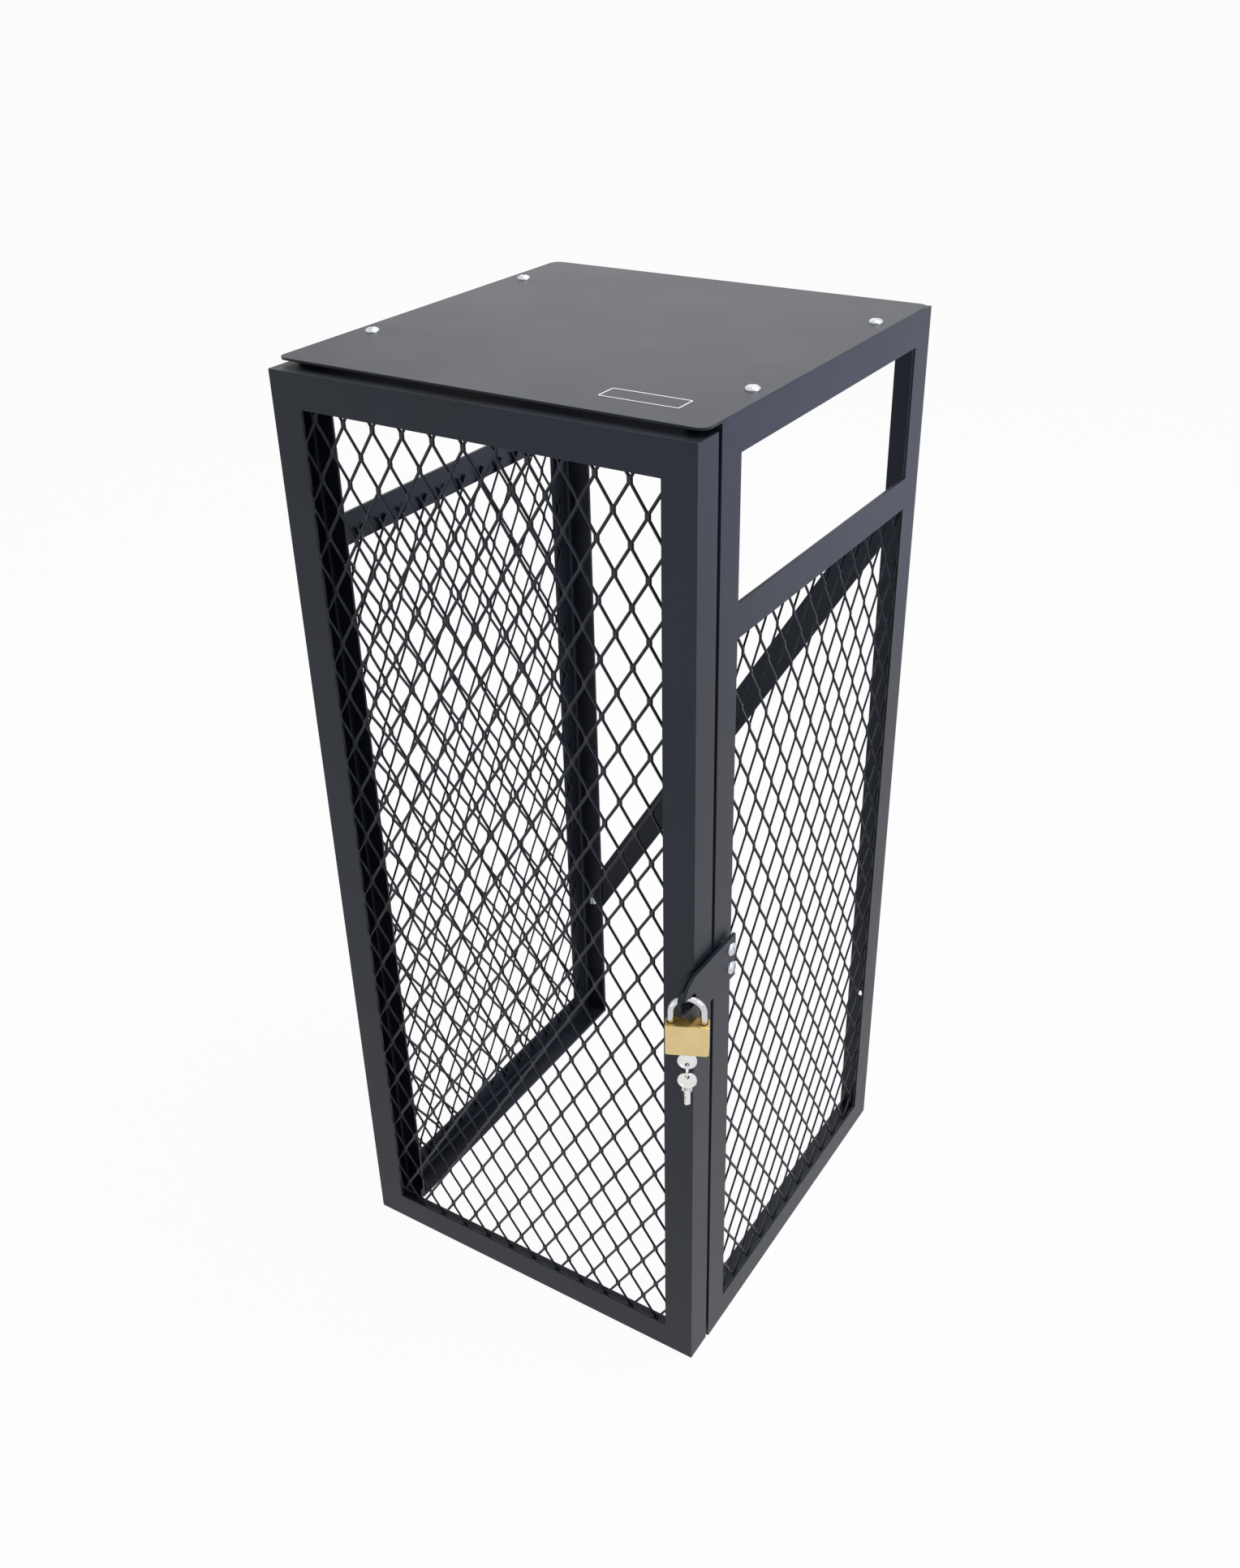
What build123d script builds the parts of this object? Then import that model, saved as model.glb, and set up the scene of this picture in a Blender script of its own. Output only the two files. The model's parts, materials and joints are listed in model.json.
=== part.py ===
from build123d import *
import os
from math import atan, atan2, ceil, cos, degrees, hypot, radians, sin

# Lockable cage for one upright gas cylinder.
# Millimetres, +Z up, front of the cage towards -Y.
# The origin lies on the floor, midway across the cage and midway between
# the tip of the hasp in front and the brace bolts behind.

# Main sizes
WIDTH = 400.0
FRAME_DEPTH = 386.0
FRAME_HEIGHT = 954.0
FRAME_FRONT = -165.0

# Rolled steel angle and flat bar
LEG = 30.0
STEEL = 3.0
ROOT_RADIUS = 3.0
TOE_RADIUS = 1.4
WINDOW_HEIGHT = 120.0

# Top sheet: it reaches over the door and stops short of the rear face. The
# bolts are measured from the front and rear faces of the frame.
SHEET = 2.0
SHEET_OVERHANG = 24.0
SHEET_SETBACK = 5.0
SHEET_CORNER = 9.0
FRONT_BOLT_BACK = 77.0
REAR_BOLT_AHEAD = 84.0

# Door
DOOR_GAP = 5.0
DOOR_BOTTOM = 3.0
DOOR_HEADROOM = 5.0

# Expanded metal
SHORT_WAY = 340.0 / 12.0
LONG_WAY = 49.5
STRAND_WIDTH = 2.8
STRAND_DEPTH = 1.5
LAYER_GAP = 0.05
EDGE_STRIP = 3.0
MESH_LAP = 13.0
SIDE_BOND_UP = 404.8
DOOR_BOND_DROP = 41.0

# Diagonal brace at the back and the holes of the rear posts
BRACE_WIDTH = 30.0
BRACE_LOW = 175.0
BRACE_DROP = 182.0
FIXING_HOLE = 4.5

# Bolts
BOLT_RADIUS = 3.0
BOLT_SIDES = 12
HEAD_RADIUS = 6.3
HEAD_RISE = 3.4
NUT_ACROSS = 10.0
NUT_THICK = 5.0
THREAD_END = 3.0
SLOT_WIDTH = 1.4
SLOT_DEPTH = 1.2

# Hinges
BARREL_RADIUS = 6.0
BARREL_LENGTH = 30.0
BARREL_GAP = 0.5
PIN_RADIUS = 3.0
PIN_PLAY = 0.05
PIN_END = 3.0
PIN_TAPER = 1.0
LEAF_WIDTH = 25.0
LEAF_THICK = 3.0
LOW_HINGE_UP = 170.0
HIGH_HINGE_DROP = 179.0

# Hasp, lock tab and padlock
HASP_HEIGHT = 45.0
HASP_MIDDLE = 472.5
HASP_TIP = 62.0
HASP_TAIL = 28.0
HASP_BOLT_BACK = 20.5
HASP_BOLT_PITCH = 20.0
HASP_STANDOFF = 3.0
TAB_RADIUS = 20.0
TAB_TIP = 23.0
LOCK_HOLE = 6.5
LOCK_HOLE_AHEAD = 13.0
LOCK_YAW = 25.0
LOCK_WIDTH = 38.0
LOCK_HEIGHT = 31.5
LOCK_THICK = 14.0
LOCK_CORNER = 2.5
LOCK_OUT = 1.2
SHACKLE_WIRE = 3.0
SHACKLE_SPAN = 28.0
CROWN_RISE = 0.25
LOCK_DROP = 2.5

# Keys and their ring
BOW_RADIUS = 9.5
BOW_HOLE = 2.2
BOW_HOLE_DOWN = 4.0
BOW_DROP = 2.0
SHOULDER_WIDTH = 9.0
SHOULDER_HEIGHT = 5.0
BLADE_WIDTH = 6.0
BLADE_LENGTH = 17.5
KEY_THICK = 2.0
RING_RADIUS = 6.0
RING_WIRE = 0.7
RING_PLAY = 0.5

# Derived places
SIDE = WIDTH / 2
FRAME_REAR = FRAME_FRONT + FRAME_DEPTH
MIDDLE_Y = (FRAME_FRONT + FRAME_REAR) / 2
MID_RAIL_TOP = FRAME_HEIGHT - LEG - WINDOW_HEIGHT
BRACE_HIGH = FRAME_HEIGHT - BRACE_DROP
SHEET_FRONT = FRAME_FRONT - SHEET_OVERHANG
SHEET_REAR = FRAME_REAR - SHEET_SETBACK
SHEET_BOLT_FRONT = FRAME_FRONT + FRONT_BOLT_BACK
SHEET_BOLT_REAR = FRAME_REAR - REAR_BOLT_AHEAD
DOOR_TOP = FRAME_HEIGHT - DOOR_HEADROOM
DOOR_REAR = FRAME_FRONT - DOOR_GAP
DOOR_FRONT = DOOR_REAR - LEG
DOOR_HEIGHT = DOOR_TOP - DOOR_BOTTOM
DOOR_MIDDLE = (DOOR_BOTTOM + DOOR_TOP) / 2
HOLE_INSET = STEEL + (LEG - STEEL) / 2
PIN_X = -SIDE - BARREL_RADIUS - BARREL_GAP
PIN_Y = FRAME_FRONT - DOOR_GAP / 2
HINGE_HEIGHTS = (LOW_HINGE_UP, DOOR_TOP - HIGH_HINGE_DROP)
LOCK_X = SIDE + LOCK_OUT
LOCK_Y = DOOR_FRONT - LOCK_HOLE_AHEAD
LOCK_TOP = HASP_MIDDLE - HASP_HEIGHT / 2 - LOCK_DROP
LOCK_BOTTOM = LOCK_TOP - LOCK_HEIGHT
CROWN_Z = HASP_MIDDLE + CROWN_RISE
BOW_Z = LOCK_BOTTOM - BOW_RADIUS - BOW_DROP
RING_SAG = BOW_HOLE_DOWN + BOW_HOLE - RING_WIRE - RING_PLAY
RING_Z = BOW_Z - RING_SAG - RING_RADIUS
SPARE_Z = RING_Z - RING_RADIUS - RING_SAG

os.makedirs("parts", exist_ok=True)


def save(shape, name):
    shape.label = name
    export_step(shape, f"parts/{name}.step")


# Bolt holes and bolt shanks share one many-sided outline, so that they meet
# face to face.
def bolt_outline(mode=Mode.ADD):
    RegularPolygon(BOLT_RADIUS, BOLT_SIDES, mode=mode)


# An angle bar lies along X with its outer corner on the X axis: one leg
# stands in the XZ plane, the other runs back along +Y. Its ends are cut to
# 45 degrees across the standing leg, as four bars meet in a welded frame.
def angle_bar(length, mitre=True):
    with BuildPart() as bar:
        with BuildSketch(Plane.YZ):
            with BuildLine():
                Polyline(
                    (0, 0),
                    (LEG, 0),
                    (LEG, STEEL),
                    (STEEL, STEEL),
                    (STEEL, LEG),
                    (0, LEG),
                    close=True,
                )
            make_face()
            for corner, radius in (
                ((STEEL, STEEL), ROOT_RADIUS),
                ((LEG, STEEL), TOE_RADIUS),
                ((STEEL, LEG), TOE_RADIUS),
            ):
                fillet(vertices().sort_by_distance((*corner, 0))[0], radius)
        extrude(amount=length / 2, both=True)
        if mitre:
            for end in (-1, 1):
                with BuildSketch(Plane.XZ.offset(-LEG)):
                    with BuildLine():
                        Polyline(
                            (end * length / 2, 0),
                            (end * (length / 2 - 2 * LEG), 2 * LEG),
                            (end * length, 2 * LEG),
                            (end * length, 0),
                            close=True,
                        )
                    make_face()
                extrude(amount=3 * LEG, mode=Mode.SUBTRACT)
    return bar.part


# The four bars of a frame of the given outer size, standing in the XZ plane
# with the legs behind. Order: bottom, top, left, right.
def picture_frame(width, height):
    flat = angle_bar(width)
    upright = angle_bar(height)
    low = Location((0, 0, 0)) * flat
    high = Location((0, 0, height), (0, 180, 0)) * flat
    left = Location((-width / 2, 0, height / 2), (0, 90, 0)) * upright
    right = Location((width / 2, 0, height / 2), (0, -90, 0)) * upright
    return low, high, left, right


# Expanded metal laid in the XZ plane about its middle, its front at y = 0.
# The strands of each lean are straight flats, the second lean just behind,
# and a narrow strip round the edge joins the two into one sheet.
def expanded_metal(width, height, bond_x, bond_z):
    lean = degrees(atan(SHORT_WAY / LONG_WAY))
    reach = height * SHORT_WAY / LONG_WAY
    count = ceil((width / 2 + reach + SHORT_WAY) / SHORT_WAY)
    strand = 2.2 * hypot(height, width)
    feet = [(bond_x + SHORT_WAY * n, bond_z) for n in range(-count, count + 1)]
    with BuildPart() as sheet:
        for layer, turn in enumerate((-lean, lean)):
            start = -layer * (STRAND_DEPTH + LAYER_GAP)
            with BuildSketch(Plane.XZ.offset(start)):
                with Locations(*feet):
                    Rectangle(STRAND_WIDTH, strand, rotation=turn)
                Rectangle(width, height, mode=Mode.INTERSECT)
                edge_strip(width, height)
            extrude(amount=-STRAND_DEPTH)
        with BuildSketch(Plane.XZ.offset(-STRAND_DEPTH)):
            edge_strip(width, height)
        extrude(amount=-LAYER_GAP)
    return sheet.part


def edge_strip(width, height):
    with BuildSketch(mode=Mode.PRIVATE) as strip:
        Rectangle(width, height)
        Rectangle(width - 2 * EDGE_STRIP, height - 2 * EDGE_STRIP, mode=Mode.SUBTRACT)
    add(strip.sketch)


# Slotted mushroom-head bolt pointing down -Z from a seat at z = 0, with its
# hexagon nut after the given grip.
def roofing_bolt(grip):
    length = grip + NUT_THICK + THREAD_END
    with BuildPart() as bolt:
        with BuildSketch():
            RegularPolygon(HEAD_RADIUS, 16)
        extrude(amount=HEAD_RISE)
        for cut in (0.65 * HEAD_RISE, 0.25 * HEAD_RISE):
            chamfer(bolt.edges().group_by(Axis.Z)[-1], cut)
        with Locations((0, 0, HEAD_RISE)):
            Box(SLOT_WIDTH, 3 * HEAD_RADIUS, 2 * SLOT_DEPTH, mode=Mode.SUBTRACT)
        with BuildSketch(Plane.XY.offset(-length)):
            bolt_outline()
        extrude(amount=length)
        with BuildSketch(Plane.XY.offset(-grip)):
            RegularPolygon(NUT_ACROSS / 2, 6, major_radius=False)
        extrude(amount=-NUT_THICK)
    return bolt.part


# Side frames. Each is drawn standing in the XZ plane, legs behind, then
# turned so that its face is the outside of the cage and its legs point in.
side_bottom, side_top, side_left, side_right = picture_frame(FRAME_DEPTH, FRAME_HEIGHT)
to_right = Location((SIDE, MIDDLE_Y, 0), (0, 0, 90))
to_left = Location((-SIDE, MIDDLE_Y, 0), (0, 0, -90))

for post, hole_z, name, spot in (
    (side_left, None, "right_front_post", to_right),
    (side_right, (BRACE_LOW, BRACE_HIGH), "right_rear_post", to_right),
    (side_right, None, "left_front_post", to_left),
    (side_left, (BRACE_LOW, BRACE_HIGH), "left_rear_post", to_left),
):
    with BuildPart() as made:
        add(spot * post)
        if hole_z:
            middle = (SIDE - HOLE_INSET) * (1 if spot is to_right else -1)
            bolted = BRACE_HIGH if middle > 0 else BRACE_LOW
            for z in hole_z:
                with BuildSketch(Plane.XZ.offset(-FRAME_REAR - 1)):
                    with Locations((middle, z)):
                        if z == bolted:
                            bolt_outline()
                        else:
                            Circle(FIXING_HOLE)
                extrude(amount=2 * STEEL, mode=Mode.SUBTRACT)
        if name == "right_front_post":
            with BuildSketch(Plane.YZ.offset(SIDE + 1)):
                with Locations((FRAME_FRONT + HASP_BOLT_BACK, HASP_MIDDLE)):
                    with GridLocations(0, HASP_BOLT_PITCH, 1, 2):
                        bolt_outline()
            extrude(amount=-2 * STEEL, mode=Mode.SUBTRACT)
    save(made.part, name)

for spot, hand in ((to_right, "right"), (to_left, "left")):
    save(spot * side_bottom, f"{hand}_bottom_rail")
    side = SIDE if hand == "right" else -SIDE
    with BuildPart() as rail:
        add(spot * side_top)
        with BuildSketch(Plane.XY.offset(FRAME_HEIGHT + 1)):
            for y in (SHEET_BOLT_FRONT, SHEET_BOLT_REAR):
                with Locations((side - HOLE_INSET * (1 if side > 0 else -1), y)):
                    bolt_outline()
        extrude(amount=-2 * STEEL, mode=Mode.SUBTRACT)
    save(rail.part, f"{hand}_top_rail")
    with BuildPart() as mid:
        with Locations(
            (side - STEEL / 2 * (1 if side > 0 else -1), MIDDLE_Y, MID_RAIL_TOP - LEG / 2)
        ):
            Box(STEEL, FRAME_DEPTH - 2 * LEG, LEG)
    save(mid.part, f"{hand}_mid_rail")

# Expanded metal of the sides, lapped on the inside of the bars
mesh_width = FRAME_DEPTH - 2 * LEG + 2 * MESH_LAP
mesh_low = LEG - MESH_LAP
mesh_high = MID_RAIL_TOP - LEG + MESH_LAP
mesh_height = mesh_high - mesh_low
mesh_middle = (mesh_low + mesh_high) / 2
side_mesh = expanded_metal(mesh_width, mesh_height, 0, SIDE_BOND_UP - mesh_middle)
for hand, turn in (("right", 90), ("left", -90)):
    side = (SIDE - STEEL) * (1 if hand == "right" else -1)
    with BuildPart() as panel:
        add(Location((side, MIDDLE_Y, mesh_middle), (0, 0, turn)) * side_mesh)
        if hand == "right":
            nut = FRAME_FRONT + HASP_BOLT_BACK
            with BuildSketch(Plane.YZ.offset(side + 1)):
                with Locations((nut, HASP_MIDDLE)):
                    Rectangle(NUT_ACROSS * 1.4, HASP_BOLT_PITCH + NUT_ACROSS * 1.4)
            extrude(amount=-4 * STEEL, mode=Mode.SUBTRACT)
    save(panel.part, f"{hand}_mesh")

# Top sheet with rounded corners
with BuildPart() as top:
    with BuildSketch(Plane.XY.offset(FRAME_HEIGHT)):
        with Locations((0, (SHEET_FRONT + SHEET_REAR) / 2)):
            RectangleRounded(WIDTH, SHEET_REAR - SHEET_FRONT, SHEET_CORNER)
        for y in (SHEET_BOLT_FRONT, SHEET_BOLT_REAR):
            with Locations((0, y)):
                with GridLocations(WIDTH - 2 * HOLE_INSET, 0, 2, 1):
                    bolt_outline(Mode.SUBTRACT)
    extrude(amount=SHEET)
save(top.part, "top_sheet")

sheet_bolt = roofing_bolt(SHEET + STEEL)
sheet_bolts = []
for x in (-SIDE + HOLE_INSET, SIDE - HOLE_INSET):
    for y in (SHEET_BOLT_FRONT, SHEET_BOLT_REAR):
        sheet_bolts.append(Location((x, y, FRAME_HEIGHT + SHEET), (0, 0, 30)) * sheet_bolt)
save(Compound(children=sheet_bolts), "top_sheet_bolts")

# Diagonal flat bar across the open back
run_x = WIDTH - 2 * HOLE_INSET
run_z = BRACE_HIGH - BRACE_LOW
brace_turn = degrees(atan2(run_z, run_x))
brace_length = hypot(run_x, run_z)
with BuildPart() as brace:
    with BuildSketch(Plane.XZ.offset(-FRAME_REAR)):
        with Locations((0, (BRACE_LOW + BRACE_HIGH) / 2)):
            SlotCenterToCenter(brace_length, BRACE_WIDTH, rotation=brace_turn)
        for x, z in ((-run_x / 2, BRACE_LOW), (run_x / 2, BRACE_HIGH)):
            with Locations((x, z)):
                bolt_outline(Mode.SUBTRACT)
    extrude(amount=-STEEL)
save(brace.part, "rear_brace")

brace_bolt = roofing_bolt(2 * STEEL)
brace_bolts = []
for x, z in ((-run_x / 2, BRACE_LOW), (run_x / 2, BRACE_HIGH)):
    brace_bolts.append(Location((x, FRAME_REAR - STEEL, z), (90, 0, 0)) * brace_bolt)
save(Compound(children=brace_bolts), "brace_bolts")

# Door: a mitred frame of the same angle, its legs pointing back
door_bottom, door_top, door_left, door_right = picture_frame(WIDTH, DOOR_HEIGHT)
to_door = Location((0, DOOR_FRONT, DOOR_BOTTOM))
save(to_door * door_bottom, "door_bottom_rail")
save(to_door * door_top, "door_top_rail")
save(to_door * door_left, "door_hinge_stile")
save(to_door * door_right, "door_lock_stile")

door_mesh_width = WIDTH - 2 * LEG + 2 * MESH_LAP
door_mesh_height = DOOR_HEIGHT - 2 * LEG + 2 * MESH_LAP
bond_z = DOOR_TOP - DOOR_BOND_DROP - DOOR_MIDDLE
door_mesh = expanded_metal(door_mesh_width, door_mesh_height, 0, bond_z)
door_mesh = Location((0, DOOR_FRONT + STEEL, DOOR_MIDDLE)) * door_mesh
save(door_mesh, "door_mesh")

# Lift-off hinges: a barrel and leaf on the post carry the pin, and the
# barrel of the door drops over it.
frame_hinges = []
door_hinges = []
pins = []
for z in HINGE_HEIGHTS:
    for low, hole, leaf_side, group in (
        (z, PIN_RADIUS, 1, frame_hinges),
        (z + BARREL_LENGTH + BARREL_GAP, PIN_RADIUS + PIN_PLAY, -1, door_hinges),
    ):
        with BuildPart() as half:
            with BuildSketch(Plane.XY.offset(low)):
                with Locations((PIN_X, PIN_Y)):
                    Circle(BARREL_RADIUS)
                with Locations((-SIDE - LEAF_THICK / 2, PIN_Y + leaf_side * LEAF_WIDTH / 2)):
                    Rectangle(LEAF_THICK, LEAF_WIDTH)
                with Locations((PIN_X, PIN_Y)):
                    Circle(hole, mode=Mode.SUBTRACT)
            extrude(amount=BARREL_LENGTH)
        group.append(half.part)
    with BuildPart() as pin:
        with BuildSketch(Plane.XY.offset(z)):
            with Locations((PIN_X, PIN_Y)):
                Circle(PIN_RADIUS)
        extrude(amount=2 * BARREL_LENGTH + PIN_END)
        chamfer(pin.faces().sort_by(Axis.Z)[-1].edges(), PIN_TAPER)
    pins.append(pin.part)
save(Compound(children=frame_hinges), "frame_hinge_halves")
save(Compound(children=door_hinges), "door_hinge_halves")
save(Compound(children=pins), "hinge_pins")


# Rounded plate in the YZ plane from y = back to the tip of its nose
def nosed_plate(back, tip, radius, hole_at, slotted):
    with BuildPart() as plate:
        with BuildSketch(Plane.YZ):
            with BuildLine():
                Line((back, -radius), (tip + radius, -radius))
                ThreePointArc((tip + radius, -radius), (tip, 0), (tip + radius, radius))
                Line((tip + radius, radius), (back, radius))
                Line((back, radius), (back, -radius))
            make_face()
            with Locations((hole_at, 0)):
                RegularPolygon(LOCK_HOLE, 24, major_radius=False, mode=Mode.SUBTRACT)
            if slotted:
                with Locations(((hole_at + tip) / 2 - 1, 0)):
                    Rectangle(hole_at - tip + 2, 2 * LOCK_HOLE, mode=Mode.SUBTRACT)
        extrude(amount=STEEL)
    return plate.part


# Hasp on the right front post, stood off by its spacers so that the door
# clears it. Its lock hole is open to the front: the shackle rides out of it
# with the door.
with BuildPart() as hasp:
    add(
        Location((SIDE + HASP_STANDOFF, 0, HASP_MIDDLE))
        * nosed_plate(
            FRAME_FRONT + HASP_TAIL,
            FRAME_FRONT - HASP_TIP,
            HASP_HEIGHT / 2,
            LOCK_Y,
            True,
        )
    )
    with BuildSketch(Plane.YZ.offset(SIDE)):
        with Locations((FRAME_FRONT + HASP_BOLT_BACK, HASP_MIDDLE)):
            with GridLocations(0, HASP_BOLT_PITCH, 1, 2):
                bolt_outline()
    extrude(amount=3 * STEEL, mode=Mode.SUBTRACT)
save(hasp.part, "hasp_plate")

spacers = []
hasp_bolts = []
hasp_bolt = roofing_bolt(STEEL + HASP_STANDOFF + STEEL)
for z in (HASP_MIDDLE - HASP_BOLT_PITCH / 2, HASP_MIDDLE + HASP_BOLT_PITCH / 2):
    y = FRAME_FRONT + HASP_BOLT_BACK
    with BuildPart() as spacer:
        with BuildSketch(Plane.YZ.offset(SIDE)):
            with Locations((y, z)):
                RegularPolygon(HEAD_RADIUS, 16)
                bolt_outline(Mode.SUBTRACT)
        extrude(amount=HASP_STANDOFF)
    spacers.append(spacer.part)
    seat = Location((SIDE + HASP_STANDOFF + STEEL, y, z), (0, 90, 0))
    hasp_bolts.append(seat * hasp_bolt)
save(Compound(children=spacers), "hasp_spacers")
save(Compound(children=hasp_bolts), "hasp_bolts")

# Lock tab welded to the face of the door, flush with its side
tab = nosed_plate(DOOR_FRONT, DOOR_FRONT - TAB_TIP, TAB_RADIUS, LOCK_Y, False)
save(Location((SIDE - STEEL, 0, HASP_MIDDLE)) * tab, "door_lock_tab")

# Padlock, drawn about its own middle with its face towards -Y, then turned
# on its shackle and hung in the holes
to_lock = Location((LOCK_X, LOCK_Y, 0), (0, 0, LOCK_YAW))
span = SHACKLE_SPAN / 2
with BuildPart() as shackle:
    turns = [radians(15 * step) for step in range(13)]
    bow = [(-span * cos(t), 0, CROWN_Z - span + span * sin(t)) for t in turns]
    with BuildLine():
        Polyline((-span, 0, LOCK_TOP), *bow, (span, 0, LOCK_TOP))
    with BuildSketch(Plane.XY.offset(LOCK_TOP)):
        with Locations((-span, 0)):
            RegularPolygon(SHACKLE_WIRE, 10)
    sweep(transition=Transition.RIGHT)
save(to_lock * shackle.part, "padlock_shackle")

with BuildPart() as body:
    with BuildSketch(Plane.XY.offset(LOCK_BOTTOM)):
        RectangleRounded(LOCK_WIDTH, LOCK_THICK, LOCK_CORNER)
    extrude(amount=LOCK_HEIGHT)
save(to_lock * body.part, "padlock_body")


# Flat key, bow at the top and blade hanging, drawn in the XZ plane
def key(blade_up):
    turn = 1 if blade_up else -1
    with BuildPart() as made:
        with BuildSketch(Plane.XZ):
            RegularPolygon(BOW_RADIUS, 24)
            with Locations((0, turn * (BOW_RADIUS - 0.5))):
                Rectangle(SHOULDER_WIDTH, SHOULDER_HEIGHT)
            if not blade_up:
                with Locations((0, -BOW_RADIUS - 1 - BLADE_LENGTH / 2)):
                    Rectangle(BLADE_WIDTH, BLADE_LENGTH)
            with Locations((0, -BOW_HOLE_DOWN * turn)):
                RegularPolygon(BOW_HOLE, 12, mode=Mode.SUBTRACT)
        extrude(amount=KEY_THICK / 2, both=True)
    return made.part


save(to_lock * Location((0, 0, BOW_Z)) * key(True), "key_in_lock")

with BuildPart() as ring:
    with BuildSketch(Plane.YZ):
        RegularPolygon(RING_RADIUS + RING_WIRE, 24)
        RegularPolygon(RING_RADIUS - RING_WIRE, 24, mode=Mode.SUBTRACT)
    extrude(amount=RING_WIRE, both=True)
save(to_lock * Location((0, 0, RING_Z)) * ring.part, "key_ring")
save(to_lock * Location((0, 0, SPARE_Z)) * key(False), "spare_key")
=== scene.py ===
import json
import math

import bmesh
import bpy
from mathutils import Matrix, Vector


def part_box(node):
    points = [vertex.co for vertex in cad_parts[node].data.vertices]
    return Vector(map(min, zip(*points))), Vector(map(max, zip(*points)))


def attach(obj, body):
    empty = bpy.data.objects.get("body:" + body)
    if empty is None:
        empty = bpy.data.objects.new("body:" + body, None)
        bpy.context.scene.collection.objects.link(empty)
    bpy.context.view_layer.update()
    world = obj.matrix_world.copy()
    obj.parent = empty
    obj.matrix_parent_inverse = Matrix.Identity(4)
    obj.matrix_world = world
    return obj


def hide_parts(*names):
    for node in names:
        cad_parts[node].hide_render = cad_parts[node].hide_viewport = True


bl_info = {
    "name": "Gas cylinder cage",
    "version": (1, 0, 0),
    "blender": (4, 5, 0),
    "location": "View3D > Sidebar > Cage",
    "description": "Looks of a lockable cage for one gas cylinder",
    "category": "Object",
}

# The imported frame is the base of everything: all sizes below are metres.
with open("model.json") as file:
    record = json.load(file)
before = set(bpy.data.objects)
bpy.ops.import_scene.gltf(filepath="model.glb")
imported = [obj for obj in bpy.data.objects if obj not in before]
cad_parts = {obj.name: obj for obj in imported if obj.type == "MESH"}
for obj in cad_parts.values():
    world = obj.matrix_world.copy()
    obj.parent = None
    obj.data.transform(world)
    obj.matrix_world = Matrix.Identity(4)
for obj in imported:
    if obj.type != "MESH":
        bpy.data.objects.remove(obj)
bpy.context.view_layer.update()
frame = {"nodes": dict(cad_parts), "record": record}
NODES = frame["nodes"]

MM = 0.001
NEAR = 1e-5  # lies on a face
SAME = 1e-6  # is one point
STEEL = 3 * MM
SIDE = 200 * MM
FRAME_FRONT = -165 * MM
FRAME_REAR = 221 * MM
FRAME_TOP = 954 * MM
SHEET_TOP = FRAME_TOP + 2 * MM
HASP_MIDDLE = 472.5 * MM

# Bolts: M6 with a slotted mushroom head
HEAD_RADIUS = 6.3 * MM
SHANK_RADIUS = 3 * MM
NUT_RADIUS = 5.77 * MM
NUT_THICK = 5 * MM
BOLT_INSET = SIDE - 16.5 * MM

# Padlock: hung in the tab, turned on its shackle
LOCK_AT = Vector((201.2 * MM, -213 * MM, 0))
LOCK_TURN = math.radians(25)
LOCK_WIDTH = 38 * MM
LOCK_THICK = 14 * MM
LOCK_TOP = 447.5 * MM
LOCK_BOTTOM = 416 * MM
CROWN = 472.75 * MM
SPAN = 14 * MM
SHACKLE_WIRE = 3 * MM
WELL_DEPTH = 1.8 * MM

# Keys: pressed from 2 mm blanks, hung by the hole in the bow
CAD_BOW = 9.5 * MM
KEY_LENGTH = 28 * MM
KEY_THICK = 1.9 * MM


# ---------------------------------------------------------------- helpers


def deselect():
    if bpy.context.object and bpy.context.object.mode != "OBJECT":
        bpy.ops.object.mode_set(mode="OBJECT")
    bpy.ops.object.select_all(action="DESELECT")


def edit(obj):
    """Only obj is selected and open in edit mode, with nothing selected in it."""
    deselect()
    obj.select_set(True)
    bpy.context.view_layer.objects.active = obj
    bpy.ops.object.mode_set(mode="EDIT")
    bpy.ops.mesh.select_all(action="DESELECT")


def done():
    bpy.ops.object.mode_set(mode="OBJECT")


def pick(obj, kind, test):
    """Selects the faces, edges or vertices of obj, open in edit mode, that pass the test."""
    bpy.ops.mesh.select_mode(type={"faces": "FACE", "edges": "EDGE", "verts": "VERT"}[kind])
    mesh = bmesh.from_edit_mesh(obj.data)
    for part in mesh.faces[:] + mesh.edges[:] + mesh.verts[:]:
        part.select_set(False)
    for part in getattr(mesh, kind):
        if test(part):
            part.select_set(True)
    mesh.select_flush_mode()
    bmesh.update_edit_mesh(obj.data)


def middle(part):
    if isinstance(part, bmesh.types.BMFace):
        return part.calc_center_median()
    return (part.verts[0].co + part.verts[1].co) / 2


def modify(obj, kind, **settings):
    """Adds one modifier and applies it."""
    deselect()
    obj.select_set(True)
    bpy.context.view_layer.objects.active = obj
    made = obj.modifiers.new(kind.title(), kind)
    for name, value in settings.items():
        setattr(made, name, value)
    bpy.ops.object.modifier_apply(modifier=made.name)


def cut(obj, tool):
    modify(obj, "BOOLEAN", operation="DIFFERENCE", object=tool, solver="EXACT")
    bpy.data.objects.remove(tool)


def join(objs):
    deselect()
    for obj in objs:
        obj.select_set(True)
    bpy.context.view_layer.objects.active = objs[0]
    bpy.ops.object.join()
    return objs[0]


def tidy(obj):
    """Merges doubles and turns all faces outwards."""
    edit(obj)
    bpy.ops.mesh.select_all(action="SELECT")
    bpy.ops.mesh.remove_doubles(threshold=SAME)
    bpy.ops.mesh.normals_make_consistent(inside=False)
    done()


def placed(obj, matrix=Matrix.Identity(4)):
    """Writes a place into the mesh, with the object itself at the origin."""
    bpy.context.view_layer.update()
    obj.data.transform(matrix @ obj.matrix_world)
    obj.matrix_world = Matrix.Identity(4)
    return obj


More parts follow.
